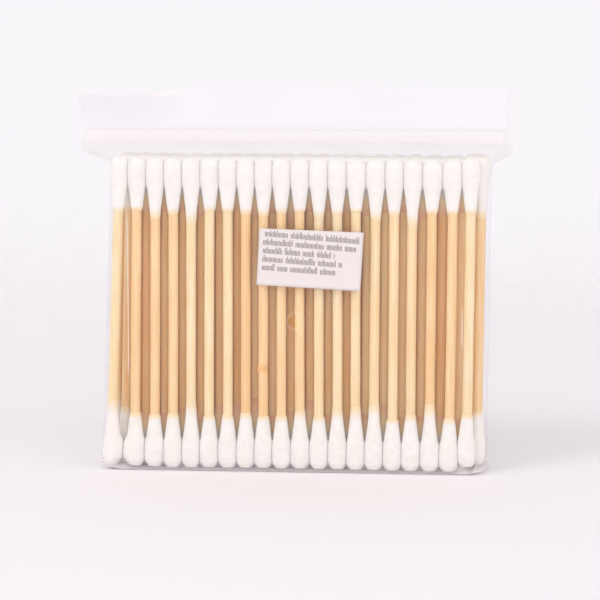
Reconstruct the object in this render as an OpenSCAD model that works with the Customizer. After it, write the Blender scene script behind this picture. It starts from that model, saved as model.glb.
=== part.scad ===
// Clear press-to-close bag, standing upright, filled with nested rows of two-ended cotton swabs.
// X runs along the rows, Y from the front of the bag to its back, Z up. The origin lies on the
// ground under the middle of the bag.

/* [Swab] */
// Length of one swab over its cotton ends
swab_length = 75; // [60:1:90]
// Diameter of the wooden stick
stick_d = 2.4; // [1.8:0.1:3]
// Largest diameter of a cotton tip
tip_d = 4.2; // [3.6:0.05:5.5]
// Length of the round blunt end of a tip, before it reaches its largest diameter
tip_end = 1.8; // [1.5:0.1:4]
// Length of a tip at its largest diameter
tip_belly = 5.6; // [2:0.1:8]
// Length over which the cotton narrows from the belly down to the stick
tip_taper = 4.8; // [3:0.1:8]
// Cotton past each end of the stick
end_cotton = 1.5; // [0.8:0.1:2.5]
// Thickness of the thin cotton sleeve at the foot of the taper
sleeve_t = 0.18; // [0.1:0.02:0.3]

/* [Stack] */
// Swabs side by side in each row
columns = 20; // [8:1:28]
// Rows from the front of the bag to its back
rows = 5; // [1:1:9]
// Room between two neighbouring tips when the row is even
tip_gap = 0.25; // [0.25:0.05:0.8]
// Room between nested tips of two rows
nest_gap = 0.06; // [0.03:0.01:0.3]
// How far the bag's rounded ground edge lifts the swabs of the front row and of the back row
edge_lift = 0.4; // [0.2:0.1:0.8]

/* [Bag] */
// Thickness of the film
film_t = 0.1; // [0.06:0.01:0.3]
// Room between the film and the tips that it holds
film_gap = 0.1; // [0.05:0.05:0.5]
// Height of the rounding round the ground edge
foot_r = 1.5; // [1:0.1:2]
// How far the ground edge is drawn in at the two narrow ends
foot_draw = 3; // [1:0.1:4]
// How far the ground film rises at the two narrow ends, under the swabs that stand higher there
foot_rise = 0.4; // [0.2:0.05:0.6]
// How far the flat top reaches past the filled bag at each side
ear_out = 5.7; // [3:0.1:10]
// Width of the weld along each side edge
weld_w = 1; // [0.5:0.1:3]
// How far the side weld stands out from the filled bag
weld_out = 0.4; // [0.2:0.1:1]
// Height from the highest tip to the closure, where the walls come together
gable_h = 2.9; // [2:0.1:12]
// Height of the free lips above the closure
lip_h = 10.3; // [4:0.1:25]
// Half the distance over which the two lips stand apart at the rim
lip_open = 0.7; // [0.35:0.05:3]
// How far the front lip curls forward at its left corner
lip_curl = 3; // [0:0.5:6]
// Depth of the upright crease between the last two swabs at each end
crease = 0.45; // [0:0.05:0.6]
// Diameter of the vent hole in the front wall
vent_d = 3.5; // [2:0.1:6]
// Place of the vent hole across the bag
vent_x = 0.8; // [-10:0.1:10]
// Height of the vent hole
vent_z = 36.7; // [20:0.1:40]

/* [Closure] */
// Height of the strip that carries each half of the closure
strip_h = 3; // [2.6:0.1:8]
// Thickness of that strip
strip_t = 0.2; // [0.15:0.01:0.4]
// Thickness of the closed closure, both strips included
closure_t = 1.5; // [1.3:0.05:2.5]
// Height of the channel over its two jaws
channel_h = 1.9; // [1.7:0.05:2.5]
// Thickness of each jaw
jaw_t = 0.35; // [0.2:0.05:0.4]
// Thickness of the stem of the rib
stem_t = 0.3; // [0.2:0.05:0.4]
// Room round the rib inside the channel
closure_gap = 0.1; // [0.05:0.01:0.15]

/* [Label] */
// Width of the paper label
label_w = 25; // [10:0.5:40]
// Height of the label
label_h = 14; // [6:0.5:25]
// Thickness of the label
label_t = 0.1; // [0.06:0.01:0.3]
// Place of the label's middle across the bag
label_x = 4.4; // [-15:0.1:15]
// Height of the label's middle
label_z = 51.7; // [50:0.1:58]
// Turn of the label in its plane, in degrees, where less than 0 lowers its right end
label_turn = -2.3; // [-8:0.1:8]

/* [Hidden] */
// One node of sticks and two of cotton tips stand for each row, counted from the front
ROW_NUMBERS = [for (r = [1 : rows]) r];

film_colour = [0.92, 0.94, 0.97, 0.3];
paper_colour = [0.95, 0.93, 0.93];
wood_colour = [0.96, 0.82, 0.62];
cotton_colour = [0.98, 0.97, 0.95];

tip_r = tip_d / 2;
stick_r = stick_d / 2;
bulge_length = tip_end + tip_belly + tip_taper;

// Swabs never stand in a perfect grid. Each list gives one value per swab, from the left end of a
// row, and a longer row goes on with the last value: how far the lower and the upper end stand to
// the right of their even place, and how far the bag's rounded ends and floor lift the swab.
foot_shift = [-1.3, 0.1, 0.4, 0.4, 0.4, 0.3, 0.4, 0.3, 0.1, 0, 0.1, 0.2, 0.2, 0.1, 0, 0, -0.1, 0, 0.2, 0];
head_shift = [1.4, 1.2, 1.1, 0.9, 0.8, 0.8, 0.6, 0.5, 0.3, 0.1, 0, 0.1, 0, 0.1, 0.4, 0.3, 0.2, 0.4, 0.8, 0.7];
lift = [0.9, 0.5, 0.2, 0, 0.1, 0.2, 0.2, 0.3, 0.3, 0.3, 0.3, 0.3, 0.3, 0.2, 0.2, 0.1, 0.1, 0, 0, 1.6];
// The swabs at the rounded ends are cut shorter by this share of their lift
cut_share = 0.7;
// Cotton runs on past the taper by these lengths, and each row starts elsewhere in the lists
foot_sleeve = [4.2, 0.8, 0.6, 1, 4, 0.6, 0.8, 1.4, 0.5, 0.7, 2.2, 0.5, 2.8, 3.2, 4.6, 0.3, 1.6];
head_sleeve = [1.2, 0.3, 2.4, 1.2, 3.9, 0.4, 0.6, 1, 1.5, 0.8, 0.5, 2];
row_step = 7;

pitch = tip_d + tip_gap;
function held(list, i) = list[min(i, len(list) - 1)];
function turned(list, i) = list[i % len(list)];

// Even places of a row that starts at 0. A row in between nests in the gaps of its neighbours.
function even_x(shift, i) = i * pitch + held(shift, i);
function nested_x(shift, r, i) =
    r % 2 == 1 ? even_x(shift, i) : (even_x(shift, i) + even_x(shift, i + 1)) / 2;
spacings = [for (shift = [foot_shift, head_shift], i = [0 : columns - 2])
    even_x(shift, i + 1) - even_x(shift, i)];
row_pitch = sqrt(pow(tip_d + nest_gap, 2) - pow(min(spacings) / 2, 2));

// The filled bag at ground level, and the flat top, are centred on X = 0
nest_row = min(rows, 2);
block_w = nested_x(foot_shift, nest_row, columns - 1) - foot_shift[0] + tip_d + 2 * (film_gap + film_t);
block_x = -foot_shift[0] - block_w / 2 + tip_r + film_gap + film_t;
function foot_x(r, i) = block_x + nested_x(foot_shift, r, i);
function head_x(r, i) = block_x + nested_x(head_shift, r, i);
function row_y(r) = (r - (rows + 1) / 2) * row_pitch;
function lift_of(r, i) =
    let (even = held(lift, i))
    r == 1 || r == rows ? max(even, edge_lift + even / 2) : even;
function foot_z(r, i) = film_t + film_gap + lift_of(r, i);
function length_of(r, i) = swab_length - cut_share * lift_of(r, i);
head_top = max([for (r = ROW_NUMBERS, i = [0 : columns - 1]) foot_z(r, i) + length_of(r, i)]);

// Half the depth of the filled bag, and its two ends, which follow the outermost swabs
half_depth = (rows - 1) / 2 * row_pitch + tip_r + film_gap + film_t;
end_room = tip_r + film_gap + film_t;
function blend(a, b, t) = a + (b - a) * t;
function eased(t) = let (c = max(0, min(1, t))) c * c * (3 - 2 * c);
function left_x(z) = blend(foot_x(1, 0), head_x(1, 0), z / swab_length) - end_room;
function right_x(z) =
    blend(foot_x(nest_row, columns - 1), head_x(nest_row, columns - 1), z / swab_length) + end_room;
flat_half_w = block_w / 2 + ear_out;

shoulder_z = head_top - tip_end;
strip_z = head_top + gable_h;
closure_z = strip_z + strip_h / 2;
closed_half = closure_t / 2 + film_t;
// Half the depth of the flat top just above the closure
lip_room = 0.25;
lips_half = lip_room + film_t;
// Flat film left between the welds and the ends of the closure
flat_room = 0.3;
closure_half_w = flat_half_w - weld_w - flat_room - closed_half - closure_gap;

// Plan of one bag wall corner: a flat wall at depth b ends in an arc of radius r below x, and the
// arc runs on straight to the side weld at x = weld. This gives the arc from the wall to there.
arc_steps = 4;
function arc_end(x, weld, b, r) =
    let (away = [weld - x + r, b - r])
    atan2(away.y, away.x) - acos(min(1, r / norm(away)));
function corner(x, weld, b, r) =
    let (stop = arc_end(x, weld, b, r))
    [for (k = [0 : arc_steps]) let (a = blend(-90, stop, k / arc_steps))
        [x - r + r * cos(a), r - b + r * sin(a)]];
function reversed(list) = [for (k = [len(list) - 1 : -1 : 0]) list[k]];
function flipped(list, across, along) = [for (p = list) [p.x * across, p.y * along]];

// The upright creases lie between the last two swabs at each end of the front row
crease_half_w = 0.9;
function crease_x(i, z) =
    blend(foot_x(1, i) + foot_x(1, i + 1), head_x(1, i) + head_x(1, i + 1), z / swab_length) / 2;
// A crease keeps this much flat wall between itself and the corner
flat_least = 0.4;
wall_steps = 6;
function wall(z, from, to, y, dip) =
    let (
        w = crease_half_w,
        a = max(crease_x(0, z), from + flat_least + w),
        b = min(crease_x(columns - 2, z), to - flat_least - w)
    )
    concat([[a - w, y], [a, y + dip]],
        [for (k = [0 : wall_steps]) [blend(a + w, b - w, k / wall_steps), y]],
        [[b, y + dip], [b + w, y]]);

// Plan of the bag at one height, anticlockwise from above from the left weld: x0 and x1 are the
// ends of the flat walls, weld0 and weld1 the side welds, b the half depth, r the corner radius,
// dip the crease
least_side = 0.02;
function plan(z, x0, x1, b, weld0, weld1, r, dip) =
    let (
        c = min(r, (1 - least_side) * b),
        right = corner(x1, weld1, b, c),
        left = reversed(flipped(corner(-x0, -weld0, b, c), -1, 1)),
        front = wall(z, x0 + c, x1 - c, -b, dip),
        back = wall(z, x0 + c, x1 - c, -b, 0)
    )
    concat([[weld0, 0]], left, front, right, [[weld1, 0]],
        reversed(flipped(concat(left, back, right), 1, -1)));

// Above the closure, u runs from 0 to 1 at the rim. The lips wave, in steps of so many degrees per
// millimetre, and their left end bends forward and hangs lower. The bend starts at one share of
// the half width and is full after another.
lip_wave = 0.35;
lip_wave_turn = 11;
corner_drop = 2;
bend_start = 0.35;
bend_over = 0.5;
function left_part(x) = eased((-x / flat_half_w - bend_start) / bend_over);
function lip_y(x, u) = u * lip_wave * sin(lip_wave_turn * x) - lip_curl * u * u * left_part(x);
function raised(ring, z, u) =
    [for (p = ring) [p.x, p.y + lip_y(p.x, u), z - corner_drop * u * left_part(p.x)]];

// The side welds leave a trace on the inside. The ears spread from a little below the highest tip
// to a little above it.
weld_trace = 0.25;
ear_below = 2.3;
ear_above = 0.9;
function ear(z) = eased((z - head_top + ear_below) / (ear_below + ear_above));

// The plan at height z and depth d under the outer surface of the film, where the film holds the
// swabs, and where it runs on to the flat top. There t is the share of the gable's height.
function held_plan(z, d, draw_x, draw_y, dip) =
    let (
        x0 = left_x(z) + d + draw_x,
        x1 = right_x(z) - d - draw_x,
        out = d > 0 ? weld_trace : weld_out
    )
    plan(z, x0, x1, half_depth - d - draw_y, x0 - out, x1 + out, end_room - d - draw_y / 2, dip);
function flat_plan(z, d, b, t) =
    let (
        reach = flat_half_w - weld_w - flat_room,
        x0 = blend(left_x(z), -reach, eased(t * t)) + d,
        x1 = blend(right_x(z), reach, eased(t * t)) - d,
        weld = d > 0 ? blend(weld_out + d, weld_w, ear(z)) : 0,
        weld0 = blend(left_x(z) - weld_out, -flat_half_w, ear(z)) + weld,
        weld1 = blend(right_x(z) + weld_out, flat_half_w, ear(z)) - weld
    )
    plan(z, x0, x1, b - d, min(weld0, x0), max(weld1, x1), end_room - d, 0);

// Rings of the film's skin at depth d, from the ground to the rim: the rounded foot, the upright
// walls with their creases, the gable, the closure, and the free lips
foot_turns = [0, 30, 60, 90];
foot_corner = end_room - foot_r / 2;
wall_shares = [0.19, 0.27, 0.72, 0.81, 0.9];
crease_shares = [0, 1, 1, 0, 0];
gable_shares = [0, 0.12, 0.25, 0.4, 0.55, 0.7, 0.84, 0.94, 1];
gable_bulge = 2.2;
lip_shares = [0.1, 0.4, 0.7, 1];
function past_flat(x) =
    let (flat = foot_draw + foot_corner)
    max(0, left_x(0) + flat - x, x + flat - right_x(0));
function foot_ring(d, turn) =
    let (
        z = foot_r - (foot_r - d) * cos(turn),
        drawn = 1 - sin(turn),
        ring = held_plan(z, d, (foot_draw - d) * drawn, (foot_r - d) * drawn, 0)
    )
    [for (p = ring) [p.x, p.y, z + foot_rise * drawn * past_flat(p.x) / foot_corner]];
function wall_ring(d, k) =
    let (z = wall_shares[k] * swab_length)
    raised(held_plan(z, d, 0, 0, crease_shares[k] * crease), z, 0);
function gable_ring(d, t) =
    let (
        z = blend(shoulder_z, strip_z, t),
        b = blend(closed_half, half_depth, pow(1 - pow(t, gable_bulge), 1 / gable_bulge))
    )
    raised(flat_plan(z, d, b, t), z, 0);
function lip_ring(d, u) =
    let (z = strip_z + strip_h + u * lip_h)
    raised(flat_plan(z, d, u == 0 ? closed_half : blend(lips_half, lip_open, u * u), 1), z, u);
function skin(d) = concat(
    [for (turn = foot_turns) foot_ring(d, turn)],
    [for (k = [0 : len(wall_shares) - 1]) wall_ring(d, k)],
    [for (t = gable_shares) gable_ring(d, t)],
    [for (u = concat(0, lip_shares)) lip_ring(d, u)]
);

module film_walls() {
    outside = skin(0);
    inside = skin(film_t);
    n = len(outside[0]);
    m = len(outside);
    points = [for (ring = concat(outside, inside)) each ring];
    half = n / 2;
    function at(j, k) = j * n + k % n;
    function band(j, up, k, over) =
        [[at(j, k), at(up, k), at(up, over)], [at(j, k), at(up, over), at(j, over)]];
    function upside_down(faces) = [for (f = faces) reversed(f)];
    floor = concat(
        [[0, 1, n - 1], [half - 1, half, half + 1]],
        [for (k = [1 : half - 2]) each [[k, k + 1, n - k - 1], [k, n - k - 1, n - k]]]
    );
    faces = concat(
        [for (j = [0 : m - 2], k = [0 : n - 1]) each band(j, j + 1, k, k + 1)],
        [for (j = [m : 2 * m - 2], k = [0 : n - 1]) each upside_down(band(j, j + 1, k, k + 1))],
        [for (k = [0 : n - 1]) each band(m - 1, 2 * m - 1, k, k + 1)],
        floor,
        [for (f = upside_down(floor)) [for (k = f) m * n + k]]
    );
    polyhedron(points, faces);
}

module bag_film() {
    color(film_colour)
        difference() {
            film_walls();
            translate([vent_x, -half_depth, vent_z])
                rotate([90, 0, 0])
                    cylinder(d = vent_d, h = 4 * film_t, center = true, $fn = 32);
        }
}

// Both halves of the closure are strips of one profile, welded to the inside of the walls. Y runs
// to the back wall. The rib snaps behind the hooks of the two jaws.
closure_half = closure_t / 2;
hook_t = 0.25;
jaw_end = strip_t + closure_gap - closure_half;

module closure_strip(profile) {
    translate([0, 0, closure_z])
        rotate([90, 0, 90])
            linear_extrude(2 * closure_half_w, center = true)
                polygon(concat(profile, reversed(flipped(profile, 1, -1))));
}

module closure_channel() {
    base = closure_half - strip_t;
    color(film_colour)
        closure_strip([
            [closure_half, 0], [closure_half, strip_h / 2], [base, strip_h / 2], [base, channel_h / 2],
            [jaw_end, channel_h / 2], [jaw_end, stem_t / 2 + closure_gap],
            [jaw_end + hook_t, stem_t / 2 + closure_gap], [jaw_end + hook_t, channel_h / 2 - jaw_t],
            [base, channel_h / 2 - jaw_t]
        ]);
}

module closure_rib() {
    base = strip_t - closure_half;
    barb = jaw_end + hook_t + closure_gap;
    color(film_colour)
        closure_strip([
            [-closure_half, 0], [-closure_half, strip_h / 2], [base, strip_h / 2], [base, stem_t / 2],
            [barb, stem_t / 2], [barb, channel_h / 2 - jaw_t - closure_gap],
            [closure_half - strip_t - closure_gap, stem_t / 2]
        ]);
}

// The label was cut by hand, so two of its corners fall short
cut_short = 0.2;

module label() {
    w = label_w / 2;
    h = label_h / 2;
    color(paper_colour)
        translate([label_x, -half_depth, label_z])
            rotate([90, 0, 0])
                rotate(label_turn)
                    linear_extrude(label_t)
                        polygon([
                            [-w, cut_short - h], [w - cut_short, -h],
                            [w, h], [cut_short - w, h - cut_short]
                        ]);
}

// Stands each swab of a row on its foot, leaning to where its head stands. $i is its number.
module each_swab(r) {
    for ($i = [0 : columns - 1])
        translate([foot_x(r, $i), row_y(r), foot_z(r, $i)])
            rotate([0, atan((head_x(r, $i) - foot_x(r, $i)) / length_of(r, $i)), 0])
                children();
}

module sticks_row(r) {
    color(wood_colour)
        each_swab(r)
            translate([0, 0, end_cotton])
                cylinder(d = stick_d, h = length_of(r, $i) - 2 * end_cotton, $fn = 32);
}

// Half section of a cotton tip with its end at 0: flat spot, blunt end, belly, taper, thin sleeve,
// and the blind socket that the stick fills
blunt_r = 1.3;
taper_z = tip_end + tip_belly;
end_step = 15;
taper_step = 0.2;
function tip_section(sleeve) = concat(
    [[0, 0]],
    [for (a = [0 : end_step : 90]) [blend(blunt_r, tip_r, sin(a)), tip_end * (1 - cos(a))]],
    [for (t = [0 : taper_step : 1])
        [blend(tip_r, stick_r + sleeve_t, eased(t)), taper_z + t * tip_taper]],
    [[stick_r + sleeve_t, bulge_length + sleeve - sleeve_t], [stick_r, bulge_length + sleeve],
        [stick_r, end_cotton], [0, end_cotton]]
);

module tip(sleeve) {
    color(cotton_colour)
        rotate_extrude($fn = 32)
            polygon(tip_section(sleeve));
}

module lower_tips_row(r) {
    each_swab(r)
        tip(turned(foot_sleeve, $i + (r - 1) * row_step));
}

module upper_tips_row(r) {
    each_swab(r)
        translate([0, 0, length_of(r, $i)])
            mirror([0, 0, 1])
                tip(turned(head_sleeve, $i + (r - 1) * row_step));
}

bag_film();
closure_channel();
closure_rib();
label();
for (r = ROW_NUMBERS) {
    sticks_row(r);
    upper_tips_row(r);
    lower_tips_row(r);
}
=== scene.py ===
import math
import random

import bmesh
import bpy
import numpy as np
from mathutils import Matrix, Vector, noise


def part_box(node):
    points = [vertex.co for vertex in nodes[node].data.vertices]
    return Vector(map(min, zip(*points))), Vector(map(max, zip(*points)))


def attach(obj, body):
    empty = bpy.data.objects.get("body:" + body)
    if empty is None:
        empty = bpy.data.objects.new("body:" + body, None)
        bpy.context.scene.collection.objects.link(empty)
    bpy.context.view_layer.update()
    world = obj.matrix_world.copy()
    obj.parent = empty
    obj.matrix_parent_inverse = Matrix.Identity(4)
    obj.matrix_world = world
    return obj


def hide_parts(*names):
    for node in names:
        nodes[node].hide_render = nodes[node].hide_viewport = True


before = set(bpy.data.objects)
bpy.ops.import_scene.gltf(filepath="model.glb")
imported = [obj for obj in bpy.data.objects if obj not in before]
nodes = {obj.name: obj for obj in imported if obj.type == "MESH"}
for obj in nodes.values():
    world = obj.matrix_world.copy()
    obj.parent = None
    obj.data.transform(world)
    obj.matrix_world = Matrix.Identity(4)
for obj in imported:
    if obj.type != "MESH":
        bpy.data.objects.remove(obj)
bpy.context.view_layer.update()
mm = 0.001
scene = bpy.context.scene
print("frame loaded:", len(nodes), "nodes")


# Small helpers

def linear(hexColour):
    # sRGB hex to the linear values that a shader takes
    shares = [int(hexColour[k:k + 2], 16) / 255 for k in (1, 3, 5)]
    return [s / 12.92 if s <= 0.04045 else ((s + 0.055) / 1.055) ** 2.4 for s in shares] + [1]


def emptyMaterial(name):
    material = bpy.data.materials.new(name)
    material.use_nodes = True
    material.node_tree.nodes.clear()
    return material


def addNode(material, kind, settings=None, inputs=None, links=None):
    node = material.node_tree.nodes.new(kind)
    for key, value in (settings or {}).items():
        setattr(node, key, value)
    for key, value in (inputs or {}).items():
        node.inputs[key].default_value = value
    for key, source in (links or {}).items():
        material.node_tree.links.new(source, node.inputs[key])
    return node


def smooth(t):
    t = min(1, max(0, t))
    return t * t * (3 - 2 * t)


def mix(a, b, t):
    return a + (b - a) * t


def meshPiece(name, points, faces, material, replaced=()):
    mesh = bpy.data.meshes.new(name)
    mesh.from_pydata([tuple(p) for p in points], [], faces)
    mesh.polygons.foreach_set("use_smooth", [True] * len(mesh.polygons))
    mesh.materials.append(material)
    mesh.update()
    piece = bpy.data.objects.new(name, mesh)
    scene.collection.objects.link(piece)
    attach(piece, "root")
    if replaced:
        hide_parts(*replaced)
    return piece


def bands(start, around, rings):
    # Quads between rings of points that follow each other from start
    faces = []
    for level in range(rings - 1):
        for k in range(around):
            a = start + level * around + k
            b = start + level * around + (k + 1) % around
            faces.append((a, b, b + around, a + around))
    return faces


def flatCaps(piece):
    # The many-cornered faces that close an end are flat, and the quads between rings are smooth
    for face in piece.data.polygons:
        face.use_smooth = len(face.vertices) < 5


def store(piece, name, values):
    # One number for each point, which the piece's material reads by its name
    attribute = piece.data.attributes.new(name, "FLOAT", "POINT")
    attribute.data.foreach_set("value", values)


def solidsOf(nodeName):
    # Every separate solid of a node, as an array of its points, from left to right
    shape = bmesh.new()
    shape.from_mesh(nodes[nodeName].data)
    bmesh.ops.remove_doubles(shape, verts=shape.verts, dist=1e-6)
    solids, seen = [], set()
    for first in shape.verts:
        if first in seen:
            continue
        seen.add(first)
        group, waiting = [], [first]
        while waiting:
            vert = waiting.pop()
            group.append(tuple(vert.co))
            for edge in vert.link_edges:
                other = edge.other_vert(vert)
                if other not in seen:
                    seen.add(other)
                    waiting.append(other)
        solids.append(np.array(group))
    shape.free()
    return sorted(solids, key=lambda points: points[:, 0].mean())


def axisOf(points):
    # The middle of a slim solid's lower end and of its upper end
    low, high = points[:, 2].min(), points[:, 2].max()
    ends = []
    for z in (low, high):
        near = points[np.abs(points[:, 2] - z) < 0.4 * mm]
        ends.append(Vector((near.min(0) + near.max(0)) / 2))
    return ends


# Swabs: where each one stands comes from the frame

rowNumbers = sorted(int(name.split("_")[-1]) for name in nodes if name.startswith("sticks_row_"))
sticks = {r: [axisOf(points) for points in solidsOf(f"sticks_row_{r}")] for r in rowNumbers}
upperTips = {r: solidsOf(f"upper_tips_row_{r}") for r in rowNumbers}
lowerTips = {r: solidsOf(f"lower_tips_row_{r}") for r in rowNumbers}
outerRows = (rowNumbers[0], rowNumbers[-1])
print("swabs found:", sum(len(row) for row in sticks.values()))


# Materials

def birchWood():
    # Round birch sticks, dried and unvarnished: pale, matt, with fine grain along the stick
    material = emptyMaterial("roundBirchUnvarnished")
    place = addNode(material, "ShaderNodeTexCoord")
    stretched = addNode(material, "ShaderNodeMapping", inputs={"Scale": (1, 1, 0.03)},
                        links={"Vector": place.outputs["Object"]})
    grain = addNode(material, "ShaderNodeTexNoise",
                    inputs={"Scale": 1 / (0.45 * mm), "Detail": 4, "Roughness": 0.6},
                    links={"Vector": stretched.outputs[0]})
    patches = addNode(material, "ShaderNodeTexNoise", inputs={"Scale": 1 / (9 * mm), "Detail": 1},
                      links={"Vector": place.outputs["Object"]})
    toneAndShade = addNode(material, "ShaderNodeAttribute", {"attribute_name": "toneAndShade"})
    grainRamp = addNode(material, "ShaderNodeMapRange",
                        inputs={"From Min": 0.35, "From Max": 0.7},
                        links={"Value": grain.outputs["Fac"]})
    grained = addNode(material, "ShaderNodeMix", {"data_type": "RGBA"},
                      {"A": linear("#FFF2D2"), "B": linear("#F9DDAC")},
                      {"Factor": grainRamp.outputs[0]})
    patched = addNode(material, "ShaderNodeMix", {"data_type": "RGBA", "blend_type": "MULTIPLY"},
                      {"B": linear("#FBEFDD")},
                      {"A": grained.outputs["Result"], "Factor": patches.outputs["Fac"]})
    # Each stick's tone is its own random wood colour, and on the inner rows it is also painted shade that
    # warms them
    tonedAndShaded = addNode(material, "ShaderNodeMix", {"data_type": "RGBA", "blend_type": "MULTIPLY"},
                    {"B": linear("#F8D8AE")},
                    {"A": patched.outputs["Result"], "Factor": toneAndShade.outputs["Fac"]})
    fibre = addNode(material, "ShaderNodeBump", inputs={"Strength": 0.5, "Distance": 0.03 * mm},
                    links={"Height": grain.outputs["Fac"]})
    shader = addNode(material, "ShaderNodeBsdfPrincipled",
                     inputs={"Roughness": 0.62, "IOR": 1.5, "Subsurface Weight": 0.4,
                             "Subsurface Radius": (1, 0.6, 0.35), "Subsurface Scale": 0.6 * mm},
                     links={"Base Color": tonedAndShaded.outputs["Result"], "Normal": fibre.outputs[0]})
    addNode(material, "ShaderNodeOutputMaterial", links={"Surface": shader.outputs[0]})
    return material


def woundCotton():
    # Bleached cotton wound on the stick: soft white, very matt, with fine fibres and faint hollows
    material = emptyMaterial("woundBleachedCotton")
    place = addNode(material, "ShaderNodeTexCoord")
    drawn = addNode(material, "ShaderNodeMapping", inputs={"Scale": (1, 1, 0.35)},
                    links={"Vector": place.outputs["Object"]})
    fibres = addNode(material, "ShaderNodeTexNoise",
                     inputs={"Scale": 1 / (0.35 * mm), "Detail": 6, "Roughness": 0.7, "Distortion": 0.8},
                     links={"Vector": drawn.outputs[0]})
    lumps = addNode(material, "ShaderNodeTexNoise", inputs={"Scale": 1 / (1.6 * mm), "Detail": 2},
                    links={"Vector": place.outputs["Object"]})
    lumpRamp = addNode(material, "ShaderNodeMapRange", inputs={"From Min": 0.35, "From Max": 0.65},
                       links={"Value": lumps.outputs["Fac"]})
    colour = addNode(material, "ShaderNodeMix", {"data_type": "RGBA"},
                     {"A": linear("#F8F5F0"), "B": linear("#F3EFE9")},
                     {"Factor": lumpRamp.outputs[0]})
    thin = addNode(material, "ShaderNodeAttribute", {"attribute_name": "thin"})
    strands = addNode(material, "ShaderNodeMath", {"operation": "MULTIPLY_ADD"}, {1: 0.9},
                      {0: fibres.outputs["Fac"], 2: thin.outputs["Fac"]})
    bareAndShade = addNode(material, "ShaderNodeMapRange", {"interpolation_type": "SMOOTHSTEP"},
                   {"From Min": 0.75, "From Max": 1.35}, {"Value": strands.outputs[0]})
    # Painted shade: past 1 the veil turns to the colour of wood in shade, for the inner swabs seen deep
    # between the front tips
    paintedShadeShare = addNode(material, "ShaderNodeMapRange", inputs={"From Min": 1, "From Max": 2},
                   links={"Value": thin.outputs["Fac"]})
    woodUnderAndShade = addNode(material, "ShaderNodeMix", {"data_type": "RGBA"},
                        {"A": linear("#FBE3BA"), "B": linear("#F4C29E")}, {"Factor": paintedShadeShare.outputs[0]})
    veiledAndShaded = addNode(material, "ShaderNodeMix", {"data_type": "RGBA"}, None,
                     {"A": colour.outputs["Result"], "B": woodUnderAndShade.outputs["Result"],
                      "Factor": bareAndShade.outputs[0]})
    heights = addNode(material, "ShaderNodeMath", {"operation": "MULTIPLY_ADD"}, {1: 2.0},
                      {0: lumps.outputs["Fac"], 2: fibres.outputs["Fac"]})
    fuzz = addNode(material, "ShaderNodeBump", inputs={"Strength": 0.3, "Distance": 0.1 * mm},
                   links={"Height": heights.outputs[0]})
    depth = addNode(material, "ShaderNodeMapRange", inputs={"To Min": 0.85, "To Max": 0},
                    links={"Value": thin.outputs["Fac"]})
    shader = addNode(material, "ShaderNodeBsdfPrincipled",
                     inputs={"Roughness": 0.95, "Specular IOR Level": 0.15, "Sheen Weight": 0.25,
                             "Sheen Roughness": 0.6, "Subsurface Radius": (1, 0.95, 0.9),
                             "Subsurface Scale": 1.6 * mm},
                     links={"Base Color": veiledAndShaded.outputs["Result"], "Normal": fuzz.outputs[0],
                            "Subsurface Weight": depth.outputs[0]})
    addNode(material, "ShaderNodeOutputMaterial", links={"Surface": shader.outputs[0]})
    return material


filmLook = {
    "haze": 0.012,
    "roughness": 0.3,
    "mirrorMost": 0.045,    # the most that the film mirrors at a slant
    "milkThrough": 0.08,    # share of the haze's light that comes through from behind
}


def clearFilm():
    # Clear cast polypropylene: see-through, glossy at a slant, with a little haze and fine crinkles, and
    # painted highlights and sheen where it catches the light
    material = emptyMaterial("castPolypropyleneFilm")
    haze = filmLook["haze"]
    place = addNode(material, "ShaderNodeTexCoord")
    crinkle = addNode(material, "ShaderNodeTexNoise",
                      inputs={"Scale": 1 / (5 * mm), "Detail": 3, "Roughness": 0.5, "Distortion": 0.4},
                      links={"Vector": place.outputs["Object"]})
    dents = addNode(material, "ShaderNodeBump", inputs={"Strength": 0.2, "Distance": 0.25 * mm},
                    links={"Height": crinkle.outputs["Fac"]})
    edgeOn = addNode(material, "ShaderNodeFresnel", inputs={"IOR": 1.49},
                     links={"Normal": dents.outputs[0]})
    slant = addNode(material, "ShaderNodeMath", {"operation": "MINIMUM"},
                    {1: filmLook["mirrorMost"]}, {0: edgeOn.outputs[0]})
    through = addNode(material, "ShaderNodeBsdfTransparent", inputs={"Color": linear("#FEFDFE")})
    gloss = addNode(material, "ShaderNodeBsdfGlossy", inputs={"Roughness": filmLook["roughness"]},
                    links={"Normal": dents.outputs[0]})
    clear = addNode(material, "ShaderNodeMixShader",
                    links={0: slant.outputs[0], 1: through.outputs[0], 2: gloss.outputs[0]})
    # The haze's white also paints the film's highlights and the gable's sheen, where it catches the light
    lit = addNode(material, "ShaderNodeBsdfDiffuse", inputs={"Color": linear("#FFFAFA")})
    litThrough = addNode(material, "ShaderNodeBsdfTranslucent", inputs={"Color": linear("#FFFAFA")})
    milkAndGlint = addNode(material, "ShaderNodeMixShader", inputs={0: filmLook["milkThrough"]},
                   links={1: lit.outputs[0], 2: litThrough.outputs[0]})
    hazeRange = addNode(material, "ShaderNodeMapRange",
                        inputs={"From Min": 0.3, "From Max": 0.7, "To Min": 0.6 * haze,
                                "To Max": 1.4 * haze},
                        links={"Value": crinkle.outputs["Fac"]})
    creased = addNode(material, "ShaderNodeAttribute", {"attribute_name": "crease"})
    milkyAndHighlit = addNode(material, "ShaderNodeMath", {"operation": "ADD", "use_clamp": True},
                    links={0: hazeRange.outputs[0], 1: creased.outputs["Fac"]})
    film = addNode(material, "ShaderNodeMixShader",
                   links={0: milkyAndHighlit.outputs[0], 1: clear.outputs[0], 2: milkAndGlint.outputs[0]})
    addNode(material, "ShaderNodeOutputMaterial", links={"Surface": film.outputs[0]})
    return material


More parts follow.
